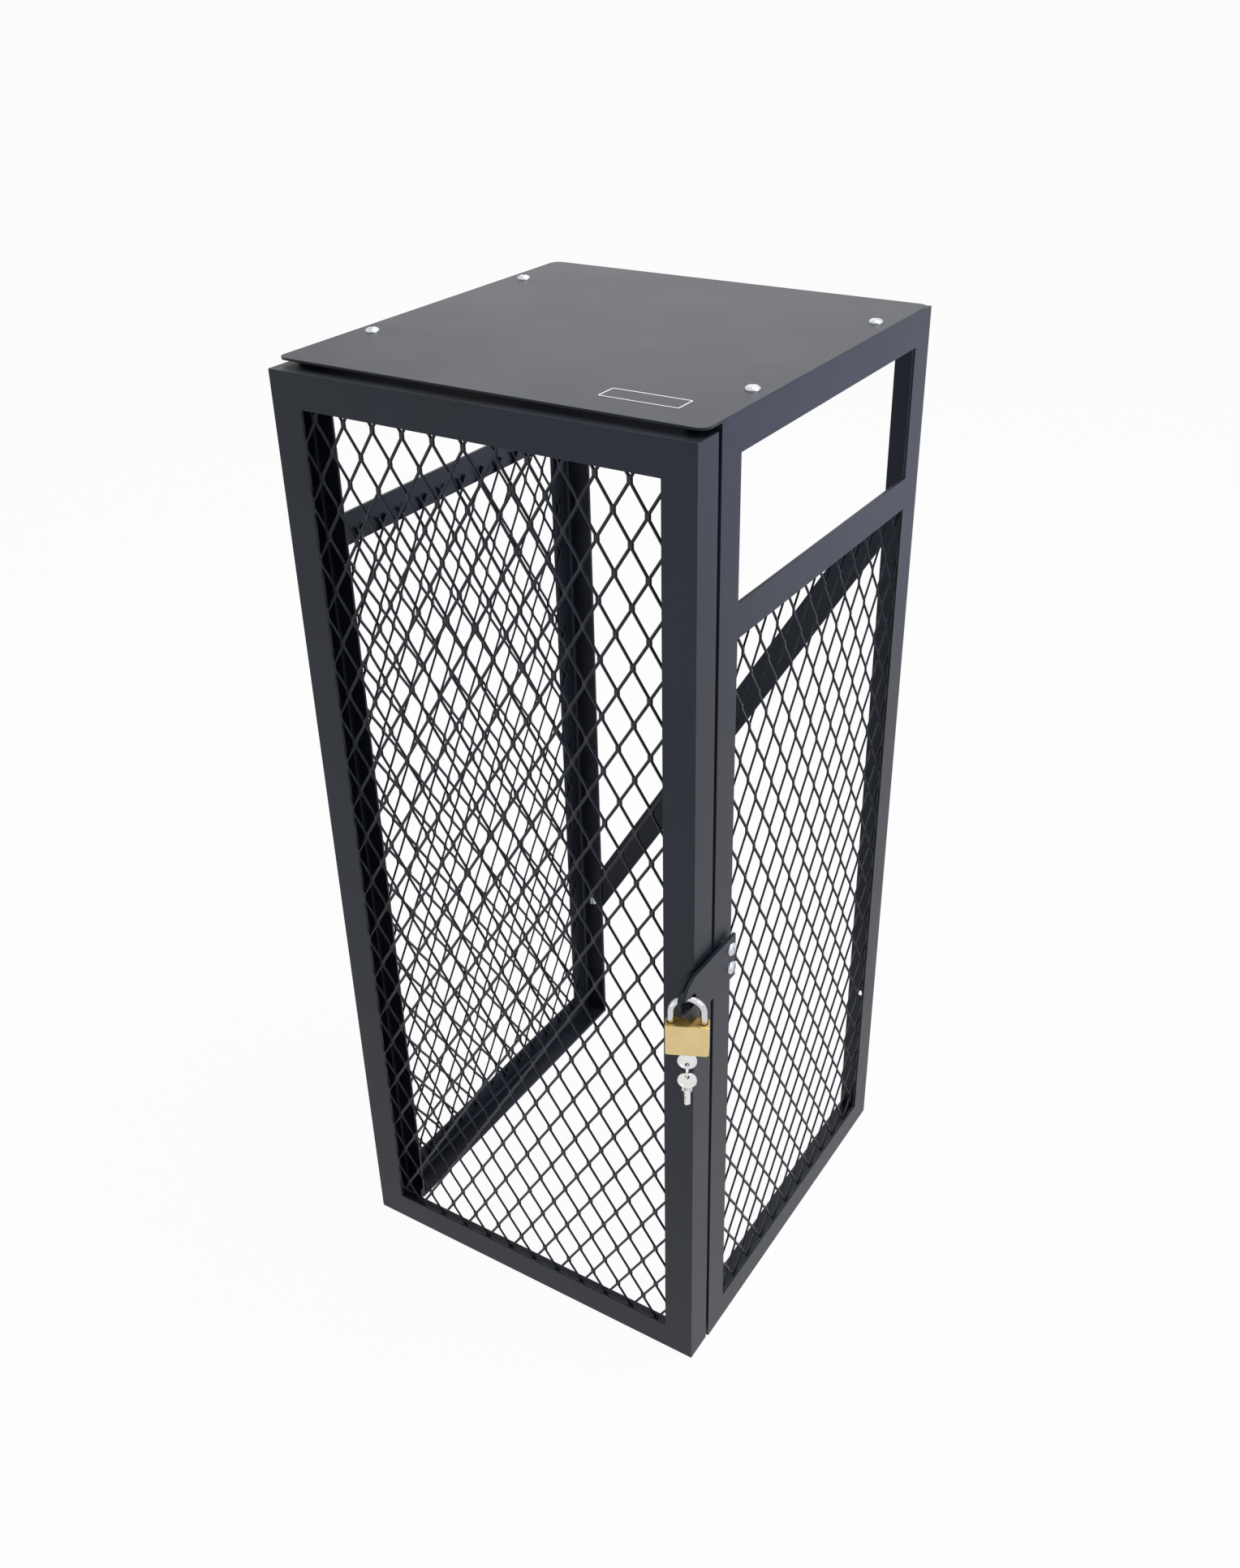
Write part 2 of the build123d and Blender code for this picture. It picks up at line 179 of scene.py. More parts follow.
def block(size, at):
    """A cuboid about a point."""
    deselect()
    bpy.ops.mesh.primitive_cube_add(size=1, location=at)
    made = bpy.context.object
    made.scale = size
    return placed(made)


def rod(radius, depth, at, sides=32, turn=(0, 0, 0)):
    """An upright cylinder about a point, or one turned from there."""
    deselect()
    bpy.ops.mesh.primitive_cylinder_add(
        vertices=sides, radius=radius, depth=depth, location=at, rotation=turn)
    return placed(bpy.context.object)


def copy_of(obj, matrix):
    twin = obj.copy()
    twin.data = obj.data.copy()
    bpy.context.scene.collection.objects.link(twin)
    twin.data.transform(matrix)
    return twin


def finished(obj, name, body, material, angle=35):
    """Names a piece, smooths it, dresses it and hands it to its body."""
    deselect()
    obj.select_set(True)
    bpy.context.view_layer.objects.active = obj
    bpy.ops.object.shade_smooth_by_angle(angle=math.radians(angle))
    obj.name = name
    if material:
        obj.data.materials.clear()
        obj.data.materials.append(material)
    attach(obj, body)
    return obj


LOCK_PLACE = Matrix.Translation(LOCK_AT) @ Matrix.Rotation(LOCK_TURN, 4, "Z")


# -------------------------------------------------------------- materials


def linear(code):
    """sRGB hex value to linear colour."""
    out = []
    for k in (0, 2, 4):
        c = int(code[k:k + 2], 16) / 255
        out.append(c / 12.92 if c <= 0.04045 else ((c + 0.055) / 1.055) ** 2.4)
    return (*out, 1.0)


def node(tree, kind, settings=None, **links):
    """Adds a node: settings are its own properties or socket values, and links join
    its inputs to (node, output) pairs."""
    made = tree.nodes.new(kind)
    for name, value in (settings or {}).items():
        if name in made.inputs:
            made.inputs[name].default_value = value
        else:
            setattr(made, name, value)
    for name, (source, output) in links.items():
        socket = int(name[1:]) if name[1:].isdigit() else name.replace("_", " ")
        tree.links.new(source.outputs[output], made.inputs[socket])
    return made


def new_material(name):
    made = bpy.data.materials.new(name)
    made.use_nodes = True
    made.node_tree.nodes.clear()
    return made, made.node_tree


def surface(tree, shader):
    out = node(tree, "ShaderNodeOutputMaterial")
    tree.links.new(shader.outputs[0], out.inputs["Surface"])


def grain(tree, place, scale, detail, output="Object"):
    """Noise in a place's coordinates, its scale counted per metre."""
    return node(tree, "ShaderNodeTexNoise", {"Scale": scale, "Detail": detail},
                Vector=(place, output))


def background_rays(tree):
    """1 for the rays that should meet the white background itself."""
    path = node(tree, "ShaderNodeLightPath")
    seen = node(tree, "ShaderNodeMath", {"operation": "MAXIMUM"},
                _0=(path, "Is Camera Ray"), _1=(path, "Is Glossy Ray"))
    return node(tree, "ShaderNodeMath", {"operation": "MAXIMUM"},
                _0=(seen, "Value"), _1=(path, "Is Transmission Ray"))


def powder_coat(paint):
    # Polyester powder coat on steel, satin: a soft broad sheen, with the fine
    # orange peel of cured powder, 1.5 mm from crest to crest, and slightly
    # uneven gloss over some centimetres.
    mat, tree = new_material("satin_black_powder_coat")
    place = node(tree, "ShaderNodeTexCoord")
    peel = grain(tree, place, 650.0, 2.0)
    patch = grain(tree, place, 14.0, 3.0)
    tone = node(tree, "ShaderNodeValToRGB", Fac=(patch, "Fac"))
    tone.color_ramp.elements[0].position = 0.3
    tone.color_ramp.elements[0].color = linear(paint)
    tone.color_ramp.elements[1].position = 0.7
    tone.color_ramp.elements[1].color = linear("202329")
    gloss = node(tree, "ShaderNodeMapRange", {"To Min": 0.38, "To Max": 0.47}, Value=(patch, "Fac"))
    round_edge = node(tree, "ShaderNodeBevel", {"samples": 4, "Radius": 0.5 * MM})
    bump = node(tree, "ShaderNodeBump", {"Strength": 0.10, "Distance": 0.1 * MM},
                Height=(peel, "Fac"), Normal=(round_edge, "Normal"))
    # The bluish specular tint is a painted reflection: it colours the coat's sheen with cool
    # reflected light, while the paint itself is neutral black.
    coat = node(tree, "ShaderNodeBsdfPrincipled",
                {"IOR": 1.5, "Specular IOR Level": 0.33, "Specular Tint": linear("dde6f6")},
                Base_Color=(tone, "Color"), Roughness=(gloss, "Result"), Normal=(bump, "Normal"))
    surface(tree, coat)
    return mat


def bright_zinc():
    # Clear bright zinc plate on pressed and turned steel: light, slightly
    # cloudy grey metal, its gloss and surface faintly uneven with the cloud.
    mat, tree = new_material("bright_zinc_plate")
    place = node(tree, "ShaderNodeTexCoord")
    cloud = grain(tree, place, 260.0, 4.0)
    tone = node(tree, "ShaderNodeValToRGB", Fac=(cloud, "Fac"))
    tone.color_ramp.elements[0].color = linear("b9bcc1")
    tone.color_ramp.elements[1].color = linear("e3e4e6")
    gloss = node(tree, "ShaderNodeMapRange", {"To Min": 0.18, "To Max": 0.36}, Value=(cloud, "Fac"))
    bump = node(tree, "ShaderNodeBump", {"Strength": 0.15, "Distance": 0.05 * MM},
                Height=(cloud, "Fac"))
    metal = node(tree, "ShaderNodeBsdfPrincipled", {"Metallic": 1.0},
                 Base_Color=(tone, "Color"), Roughness=(gloss, "Result"), Normal=(bump, "Normal"))
    surface(tree, metal)
    return mat


def satin_brass(name, light, dark, rough=0.26):
    # Extruded brass, satin-brushed along its height: fine upright lines about
    # 0.4 mm apart that stretch the highlight, with a barely darker tarnish.
    mat, tree = new_material(name)
    place = node(tree, "ShaderNodeTexCoord")
    stretch = node(tree, "ShaderNodeMapping", {"Scale": (1.0, 1.0, 0.03)}, Vector=(place, "Object"))
    lines = grain(tree, stretch, 2500.0, 2.0, "Vector")
    stain = grain(tree, place, 90.0, 3.0)
    tone = node(tree, "ShaderNodeValToRGB", Fac=(stain, "Fac"))
    tone.color_ramp.elements[0].position = 0.3
    tone.color_ramp.elements[0].color = linear(dark)
    tone.color_ramp.elements[1].position = 0.65
    tone.color_ramp.elements[1].color = linear(light)
    gloss = node(tree, "ShaderNodeMapRange", {"To Min": rough, "To Max": rough + 0.14},
                 Value=(lines, "Fac"))
    bump = node(tree, "ShaderNodeBump", {"Strength": 0.12, "Distance": 0.03 * MM},
                Height=(lines, "Fac"))
    metal = node(tree, "ShaderNodeBsdfPrincipled", {"Metallic": 1.0},
                 Base_Color=(tone, "Color"), Roughness=(gloss, "Result"), Normal=(bump, "Normal"))
    surface(tree, metal)
    return mat


def plated(name, light, rough):
    # Polished steel under a thin bright plate: mirror-like, with faint rubbed
    # marks that only show in the highlight.
    mat, tree = new_material(name)
    place = node(tree, "ShaderNodeTexCoord")
    rub = grain(tree, place, 400.0, 4.0)
    gloss = node(tree, "ShaderNodeMapRange", {"To Min": rough, "To Max": rough + 0.12},
                 Value=(rub, "Fac"))
    metal = node(tree, "ShaderNodeBsdfPrincipled", {"Metallic": 1.0, "Base Color": linear(light)},
                 Roughness=(gloss, "Result"))
    surface(tree, metal)
    return mat


def matt_floor():
    # Matt white studio paper, seen near white by the camera so that the
    # backdrop has no edge, and shaded by the object as real paper is.
    mat, tree = new_material("matt_white_paper")
    paper = node(tree, "ShaderNodeBsdfDiffuse", {"Color": linear("f2f2f2")})
    glow = node(tree, "ShaderNodeEmission", {"Color": (1, 1, 1, 1), "Strength": 1.0})
    glow_share = 0.96
    share = node(tree, "ShaderNodeMath", {"operation": "MULTIPLY"},
                 _0=(background_rays(tree), "Value"))
    share.inputs[1].default_value = glow_share
    mix = node(tree, "ShaderNodeMixShader", None,
               Fac=(share, "Value"), _1=(paper, "BSDF"), _2=(glow, "Emission"))
    surface(tree, mix)
    return mat


# ------------------------------------------------------------- properties


class CageFinish(bpy.types.PropertyGroup):
    paint: bpy.props.StringProperty(
        name="Paint colour", description="sRGB hex value of the powder coat", default="191b1f")
    brass: bpy.props.StringProperty(
        name="Brass colour", description="sRGB hex value of the padlock body", default="dcc691")
    chrome: bpy.props.StringProperty(
        name="Shackle colour", description="sRGB hex value of the chrome plate", default="cdcfd3")
    nickel: bpy.props.StringProperty(
        name="Key colour", description="sRGB hex value of the nickel plate", default="e4e4e2")


class CageSizes(bpy.types.PropertyGroup):
    short_way: bpy.props.FloatProperty(
        name="Mesh short way", description="Pitch of the expanded metal across the sheet",
        default=30.1 * MM, min=0.01, unit="LENGTH")
    long_way: bpy.props.FloatProperty(
        name="Mesh long way", description="Pitch of the expanded metal up the sheet",
        default=50.4 * MM, min=0.02, unit="LENGTH")
    strand: bpy.props.FloatProperty(
        name="Strand width", description="Width of one strand of the slit sheet",
        default=2.6 * MM, min=0.001, unit="LENGTH")
    gauge: bpy.props.FloatProperty(
        name="Mesh gauge", description="Thickness of the slit sheet",
        default=1.9 * MM, min=0.0005, unit="LENGTH")
    bond: bpy.props.FloatProperty(
        name="Bond length", description="Straight length where two strands stay joined",
        default=5 * MM, min=0.001, unit="LENGTH")
    tilt: bpy.props.FloatProperty(
        name="Strand tilt", description="Turn of the strands out of the sheet's plane",
        default=math.radians(20), subtype="ANGLE", unit="ROTATION")
    key_bow: bpy.props.FloatProperty(
        name="Key bow radius", description="Radius of the round head of each key",
        default=8.6 * MM, min=0.004, unit="LENGTH")
    label_width: bpy.props.FloatProperty(
        name="Label width", description="Width of the bare label place on the top sheet",
        default=70 * MM, min=0.01, unit="LENGTH")
    label_depth: bpy.props.FloatProperty(
        name="Label depth", description="Depth of the bare label place on the top sheet",
        default=22 * MM, min=0.01, unit="LENGTH")


def sizes():
    return bpy.context.scene.cage_sizes


MATERIAL = {}


class MakeFinishes(bpy.types.Operator):
    """Makes the cage's finishes once, for all pieces to share"""
    bl_idname = "cage.finishes"
    bl_label = "Finishes"

    def execute(self, context):
        f = context.scene.cage_finish
        MATERIAL["paint"] = powder_coat(f.paint)
        MATERIAL["zinc"] = bright_zinc()
        MATERIAL["brass"] = satin_brass("satin_brass", f.brass, "d5be88")
        MATERIAL["brass_top"] = satin_brass("milled_brass_top", "d2b467", "b8994f", 0.5)
        MATERIAL["chrome"] = plated("polished_chrome_plate", f.chrome, 0.06)
        MATERIAL["nickel"] = plated("nickel_plate", f.nickel, 0.14)
        MATERIAL["silver_line"] = plated("silver_edge_line", "d8dade", 0.25)
        return {"FINISHED"}


# -------------------------------------------------------- expanded metal


def strand_room():
    """How far the middle of a sheet stands off the bars that it is laid on."""
    s = sizes()
    return s.strand * math.sin(s.tilt) + s.gauge / 2 * math.cos(s.tilt)


def strand_sheet(width, height, bond_at, hand):
    """One sheet of raised expanded metal, standing in the XZ plane about its
    middle. Each strand runs up the sheet in a zigzag and is joined to its
    neighbours at the bonds; its section leans out of the plane."""
    s = sizes()
    lean = hand * s.tilt
    across = s.strand / 2 * math.cos(lean)
    depth = s.strand / 2 * math.sin(lean)
    right = Vector((s.short_way / 4 - across, -depth, 0))
    deselect()
    bpy.ops.mesh.primitive_plane_add(size=1)
    sheet = bpy.context.object
    edit(sheet)
    bpy.ops.mesh.select_all(action="SELECT")
    bpy.ops.transform.resize(value=(s.strand, s.gauge, 1), center_override=(0, 0, 0))
    bpy.ops.mesh.delete(type="ONLY_FACE")
    done()
    placed(sheet, Matrix.Translation(right) @ Matrix.Rotation(lean, 4, "Z"))
    edit(sheet)
    bpy.ops.mesh.select_all(action="SELECT")
    swing = -2 * right
    rise = Vector((0, 0, s.long_way / 2 - s.bond))
    half = Vector((0, 0, s.bond / 2))
    for step in (half, swing + rise, 2 * half, rise - swing, half):
        bpy.ops.mesh.extrude_edges_move(TRANSFORM_OT_translate={"value": step})
    bpy.ops.mesh.select_all(action="SELECT")
    bpy.ops.mesh.duplicate_move(
        TRANSFORM_OT_translate={"value": (s.short_way / 2, 0, s.long_way / 2)})
    done()
    rows = math.ceil(height / s.long_way) + 3
    columns = math.ceil(width / s.short_way) + 3
    modify(sheet, "ARRAY", count=rows, use_relative_offset=False, use_constant_offset=True,
           constant_offset_displace=(0, 0, s.long_way), use_merge_vertices=True,
           merge_threshold=NEAR)
    modify(sheet, "ARRAY", count=columns, use_relative_offset=False, use_constant_offset=True,
           constant_offset_displace=(s.short_way, 0, 0))
    before = math.ceil((width / 2 + bond_at[0]) / s.short_way) + 1
    below = math.ceil((height / 2 + bond_at[1]) / s.long_way) + 1
    first = Vector((bond_at[0] - s.short_way / 4 - before * s.short_way, 0,
                    bond_at[1] - below * s.long_way))
    placed(sheet, Matrix.Translation(first))
    edit(sheet)
    for normal, reach in (((1, 0, 0), width / 2), ((-1, 0, 0), width / 2),
                          ((0, 0, 1), height / 2), ((0, 0, -1), height / 2)):
        bpy.ops.mesh.select_all(action="SELECT")
        bpy.ops.mesh.bisect(plane_co=Vector(normal) * reach, plane_no=normal,
                            use_fill=False, clear_outer=True)
    bpy.ops.mesh.select_all(action="SELECT")
    bpy.ops.mesh.fill_holes(sides=12)
    bpy.ops.mesh.select_all(action="SELECT")
    bpy.ops.mesh.normals_make_consistent(inside=False)
    done()
    return sheet


class MakeDoorMesh(bpy.types.Operator):
    """Expanded metal of the door, lapped behind the door's four bars"""
    bl_idname = "cage.door_mesh"
    bl_label = "Door mesh"

    def execute(self, context):
        low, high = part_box("door_mesh")
        at = Vector((0, low.y + strand_room(), (low.z + high.z) / 2))
        bond = (-9.3 * MM, 458.2 * MM - at.z)
        sheet = strand_sheet(high.x - low.x, high.z - low.z, bond, -1)
        placed(sheet, Matrix.Translation(at))
        finished(sheet, "door_expanded_metal", "door", MATERIAL["paint"])
        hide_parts("door_mesh")
        return {"FINISHED"}


class MakeSideMeshes(bpy.types.Operator):
    """Expanded metal of both sides, lapped inside the side bars"""
    bl_idname = "cage.side_meshes"
    bl_label = "Side meshes"

    def execute(self, context):
        reach = SIDE - STEEL - strand_room()
        for hand, sign, bond_y, bond_z in (("right", 1, 34.5 * MM, 402 * MM),
                                           ("left", -1, 33 * MM, 424.5 * MM)):
            low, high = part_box(hand + "_mesh")
            at = Vector((sign * reach, (low.y + high.y) / 2, (low.z + high.z) / 2))
            bond = (sign * (bond_y - at.y), bond_z - at.z)
            sheet = strand_sheet(high.y - low.y, high.z - low.z, bond, 1)
            placed(sheet, Matrix.Translation(at) @ Matrix.Rotation(sign * math.pi / 2, 4, "Z"))
            if hand == "right":
                # The strands are cut away round the nuts of the hasp's bolts.
                notch_edge, notch_half = -137 * MM, 19 * MM
                edit(sheet)
                pick(sheet, "verts", lambda v: v.co.y < notch_edge
                     and abs(v.co.z - HASP_MIDDLE) < notch_half)
                bpy.ops.mesh.delete(type="VERT")
                bpy.ops.mesh.select_all(action="SELECT")
                bpy.ops.mesh.fill_holes(sides=8)
                done()
            finished(sheet, hand + "_expanded_metal", "frame", MATERIAL["paint"])
            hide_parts(hand + "_mesh")
        return {"FINISHED"}


# ----------------------------------------------------------------- bolts


def mushroom_bolt(grip, length):
    """Slotted mushroom-head bolt with its nut, pointing down from a seat at z = 0."""
    deselect()
    bpy.ops.mesh.primitive_circle_add(vertices=32, radius=HEAD_RADIUS, fill_type="NGON")
    head = bpy.context.object
    edit(head)
    bpy.ops.mesh.select_all(action="SELECT")
    bpy.ops.mesh.extrude_region_move(TRANSFORM_OT_translate={"value": (0, 0, 0.5 * MM)})
    for rise, scale in ((0.9, 0.94), (0.8, 0.85), (0.6, 0.74), (0.4, 0.58), (0.2, 0.4)):
        bpy.ops.mesh.extrude_region_move(TRANSFORM_OT_translate={"value": (0, 0, rise * MM)})
        bpy.ops.transform.resize(value=(scale, scale, 1), center_override=(0, 0, 0))
    done()
    tidy(head)
    cut(head, block((1.4 * MM, 30 * MM, 2.6 * MM), (0, 0, 3.4 * MM)))
    shank = rod(SHANK_RADIUS, length, (0, 0, -length / 2), sides=24)
    edit(shank)
    pick(shank, "edges", lambda e: middle(e).z < -length + NEAR)
    bpy.ops.mesh.bevel(offset=0.7 * MM, segments=1)
    done()
    nut = rod(NUT_RADIUS, NUT_THICK, (0, 0, -grip - NUT_THICK / 2), sides=6)
    edit(nut)
    pick(nut, "verts", lambda v: True)
    bpy.ops.mesh.bevel(offset=0.7 * MM, segments=2, affect="VERTICES")
    done()
    return join([head, shank, nut])


def seat(at, turn, axis):
    """Where a bolt goes, and which way it is turned there, in degrees."""
    return Matrix.Translation(at) @ Matrix.Rotation(math.radians(turn), 4, axis)


class MakeBolts(bpy.types.Operator):
    """Bright bolts of the top sheet, the brace and the hasp, modelled once"""
    bl_idname = "cage.bolts"
    bl_label = "Bolts"

    def execute(self, context):
        sets = (
            ("sheet_bolt_set", "top_sheet_bolts", 5 * MM, 13 * MM, [
                seat((x, y, SHEET_TOP), 30, "Z")
                for x in (-BOLT_INSET, BOLT_INSET) for y in (-88 * MM, 137 * MM)]),
            ("brace_bolt_set", "brace_bolts", 6 * MM, 14 * MM, [
                seat((x, FRAME_REAR - STEEL, z), 90, "X")
                for x, z in ((-BOLT_INSET, 175 * MM), (BOLT_INSET, 772 * MM))]),
            ("hasp_bolt_set", "hasp_bolts", 9 * MM, 17 * MM, [
                seat((SIDE + 2 * STEEL, -144.5 * MM, HASP_MIDDLE + up), 90, "Y")
                @ Matrix.Rotation(math.radians(turn), 4, "Z")
                for up, turn in ((-10 * MM, 60), (10 * MM, 120))]),
        )
        for name, stands_for, grip, length, places in sets:
            first = mushroom_bolt(grip, length)
            all_of = [copy_of(first, place) for place in places]
            bpy.data.objects.remove(first)
            piece = join(all_of)
            finished(piece, name, "frame", MATERIAL["zinc"], 30)
            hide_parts(stands_for)
        return {"FINISHED"}


# --------------------------------------------------------------- padlock


class MakePadlock(bpy.types.Operator):
    """Brass padlock body with its shackle wells and keyway, and the shackle"""
    bl_idname = "cage.padlock"
    bl_label = "Padlock"

    def execute(self, context):
        height = LOCK_TOP - LOCK_BOTTOM
        body = block((LOCK_WIDTH, LOCK_THICK, height), (0, 0, (LOCK_TOP + LOCK_BOTTOM) / 2))
        edit(body)
        pick(body, "edges", lambda e: abs(e.verts[0].co.z - e.verts[1].co.z) > height / 2)
        bpy.ops.mesh.bevel(offset=2.5 * MM, segments=5)
        pick(body, "edges", lambda e: abs(e.verts[0].co.z - e.verts[1].co.z) < SAME
             and (middle(e).z > LOCK_TOP - NEAR or middle(e).z < LOCK_BOTTOM + NEAR))
        bpy.ops.mesh.bevel(offset=0.8 * MM, segments=3)
        done()
        for x in (-SPAN, SPAN):
            cut(body, rod(SHACKLE_WIRE + 0.7 * MM, 4 * MM, (x, 0, LOCK_TOP)))
        cut(body, rod(5 * MM, 1 * MM, (0, 0, LOCK_BOTTOM)))
        body.data.materials.clear()
        body.data.materials.append(MATERIAL["brass"])
        body.data.materials.append(MATERIAL["brass_top"])
        for face in body.data.polygons:
            on_top = face.center.z > LOCK_TOP - 0.2 * MM and face.normal.z > 0.8
            face.material_index = 1 if on_top else 0
        placed(body, LOCK_PLACE)
        finished(body, "padlock_brass_body", "padlock", None, 30)
        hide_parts("padlock_body")

        deselect()
        bpy.ops.mesh.primitive_circle_add(vertices=24, radius=SHACKLE_WIRE, fill_type="NGON",
                                          location=(-SPAN, 0, LOCK_TOP - WELL_DEPTH))
        bow = bpy.context.object
        placed(bow)
        edit(bow)
        bpy.ops.mesh.select_all(action="SELECT")
        start = CROWN - SPAN
        bpy.ops.mesh.extrude_region_move(
            TRANSFORM_OT_translate={"value": (0, 0, start - LOCK_TOP + WELL_DEPTH)})
        bpy.ops.mesh.spin(steps=20, angle=-math.pi, center=(0, 0, start), axis=(0, 1, 0))
        bpy.ops.mesh.extrude_region_move(
            TRANSFORM_OT_translate={"value": (0, 0, LOCK_TOP - WELL_DEPTH - start)})
        done()
        tidy(bow)
        placed(bow, LOCK_PLACE)
        finished(bow, "padlock_chrome_shackle", "padlock", MATERIAL["chrome"], 40)
        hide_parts("padlock_shackle")
        return {"FINISHED"}


def flat_key(blade_up):
    """A pressed key, its bow about z = 0, with a raised rim; a cut blade is added only when
    blade_up is false.
    """
    radius = sizes().key_bow
    turn = 1 if blade_up else -1
    level = (math.pi / 2, 0, 0)
    key = rod(radius, 2 * MM, (0, 0, 0), sides=40, turn=level)
    edit(key)
    pick(key, "edges", lambda e: all(abs(abs(v.co.y) - MM) < SAME for v in e.verts))
    bpy.ops.mesh.bevel(offset=0.3 * MM, segments=2)
    for side in (-1, 1):
        pick(key, "faces", lambda f: f.normal.y * side > 0.9 and len(f.verts) > 20)
        bpy.ops.mesh.inset(thickness=1.2 * MM)
        bpy.ops.mesh.inset(thickness=0.3 * MM, depth=-0.4 * MM)
    done()
    neck = block((9 * MM, KEY_THICK, 5 * MM), (0, 0, turn * (radius + 0.9 * MM)))
    edit(neck)
    pick(neck, "edges", lambda e: True)
    bpy.ops.mesh.bevel(offset=0.25 * MM, segments=2)
    done()
    pieces = [key, neck]
    if not blade_up:
        length = KEY_LENGTH - radius
        blade_middle = -(radius + KEY_LENGTH) / 2
        blade = block((6 * MM, KEY_THICK, length), (0, 0, blade_middle))
        edit(blade)
        bpy.ops.mesh.select_all(action="SELECT")
        bpy.ops.mesh.subdivide(number_cuts=11)
        cuts = (0.0, 0.0, 1.9, 1.9, 0.7, 2.3, 2.3, 1.0, 1.8, 1.8, 0.6)
        for row, deep in enumerate(cuts):
            z = -radius - (row + 1) * length / 12
            pick(blade, "verts", lambda v: v.co.x < -2.99 * MM and abs(v.co.z - z) < 0.3 * MM)
            bpy.ops.transform.translate(value=(deep * MM, 0, 0))
        pick(blade, "verts", lambda v: v.co.z < -KEY_LENGTH + NEAR)
        bpy.ops.transform.resize(value=(0.45, 1, 1), center_override=(0, 0, -KEY_LENGTH))
        done()
        modify(blade, "DECIMATE", decimate_type="DISSOLVE", angle_limit=math.radians(1))
        groove_at = (1.6 * MM, -KEY_THICK / 2, blade_middle)
        cut(blade, block((0.9 * MM, 0.9 * MM, KEY_LENGTH), groove_at))
        pieces.append(blade)
    cut(key, rod(2.2 * MM, 6 * MM, (0, 0, -4 * MM * turn), sides=24, turn=level))
    return join(pieces)


class MakeKeys(bpy.types.Operator):
    """The key in the padlock, the split ring and the spare key on it"""
    bl_idname = "cage.keys"
    bl_label = "Keys and ring"

    def execute(self, context):
        bow_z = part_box("key_in_lock")[0].z + CAD_BOW
        first = placed(flat_key(True), LOCK_PLACE @ Matrix.Translation((0, 0, bow_z)))
        finished(first, "key_turned_in_lock", "padlock", MATERIAL["nickel"], 30)
        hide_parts("key_in_lock")
        spare_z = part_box("spare_key")[1].z - CAD_BOW
        second = placed(flat_key(False), LOCK_PLACE @ Matrix.Translation((0, 0, spare_z)))
        finished(second, "spare_flat_key", "padlock", MATERIAL["nickel"], 30)
        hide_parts("spare_key")
        low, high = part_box("key_ring")
        turns = []
        for shift in (-0.36 * MM, 0.36 * MM):
            deselect()
            bpy.ops.mesh.primitive_torus_add(major_radius=6 * MM, minor_radius=0.7 * MM,
                                             major_segments=48, minor_segments=10)
            coil = bpy.context.object
            edit(coil)
            bpy.ops.mesh.select_all(action="SELECT")
            bpy.ops.transform.resize(value=(1, 1, 0.56), center_override=(0, 0, 0))
            done()
            placed(coil, LOCK_PLACE @ Matrix.Translation((shift, 0, (low.z + high.z) / 2))
                   @ Matrix.Rotation(math.pi / 2, 4, "Y"))
            turns.append(coil)
        ring = join(turns)
        finished(ring, "split_key_ring", "padlock", MATERIAL["nickel"], 60)
        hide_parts("key_ring")
        return {"FINISHED"}


# ------------------------------------------------------- hinge-side stop


class MakeHingeStop(bpy.types.Operator):
    """Flat strip on the hinge-side post that closes the slit behind the door"""
    bl_idname = "cage.hinge_stop"
    bl_label = "Hinge-side stop"

    def execute(self, context):
        thick, wide, foot_wide = 4.4 * MM, 12 * MM, 30 * MM
        low, foot_top, high = 1 * MM, 14 * MM, 946 * MM
        at = (-SIDE + wide / 2, FRAME_FRONT - thick / 2, (low + high) / 2)
        strip = block((wide, thick, high - low), at)
        edit(strip)
        bpy.ops.mesh.select_all(action="SELECT")
        bpy.ops.mesh.bisect(plane_co=(0, 0, foot_top), plane_no=(0, 0, 1))
        # The foot runs on to the post's inner edge, over the corner of the rails.
        pick(strip, "faces", lambda f: middle(f).x > wide - SIDE - NEAR and middle(f).z < foot_top)
        bpy.ops.mesh.extrude_region_move(TRANSFORM_OT_translate={"value": (foot_wide - wide, 0, 0)})
        pick(strip, "edges", lambda e: middle(e).y < FRAME_FRONT - thick + NEAR
             and e.calc_face_angle(0) > 0.5)
        bpy.ops.mesh.bevel(offset=0.8 * MM, segments=2)
        done()
        finished(strip, "hinge_side_stop_strip", "frame", MATERIAL["paint"])
        return {"FINISHED"}


# ---------------------------------------------------------- bare label


class MakeLabelPlace(bpy.types.Operator):
    """A bare rectangle on the top sheet, edged by a fine silver line"""
    bl_idname = "cage.label_place"
    bl_label = "Label place"

    def execute(self, context):
        s = sizes()
        at = Vector((125 * MM, -146 * MM, SHEET_TOP))
        deselect()
        bpy.ops.mesh.primitive_plane_add(size=1, location=at)
        plate = bpy.context.object
        plate.scale = (s.label_width, s.label_depth, 1)
        placed(plate)
        edit(plate)
        bpy.ops.mesh.select_all(action="SELECT")
        bpy.ops.mesh.bevel(offset=2 * MM, segments=5, affect="VERTICES")
        bpy.ops.mesh.select_all(action="SELECT")
        bpy.ops.mesh.inset(thickness=1.2 * MM)
        bpy.ops.object.material_slot_add()
        bpy.ops.object.material_slot_add()
        done()
        plate.data.materials[0] = MATERIAL["silver_line"]
        plate.data.materials[1] = MATERIAL["paint"]
        for face in plate.data.polygons:
            face.material_index = 1 if len(face.vertices) > 4 else 0
        modify(plate, "SOLIDIFY", thickness=0.35 * MM, offset=1)
        finished(plate, "bare_label_place", "frame", None, 30)
        return {"FINISHED"}


# ------------------------------------------------------- CAD node finish


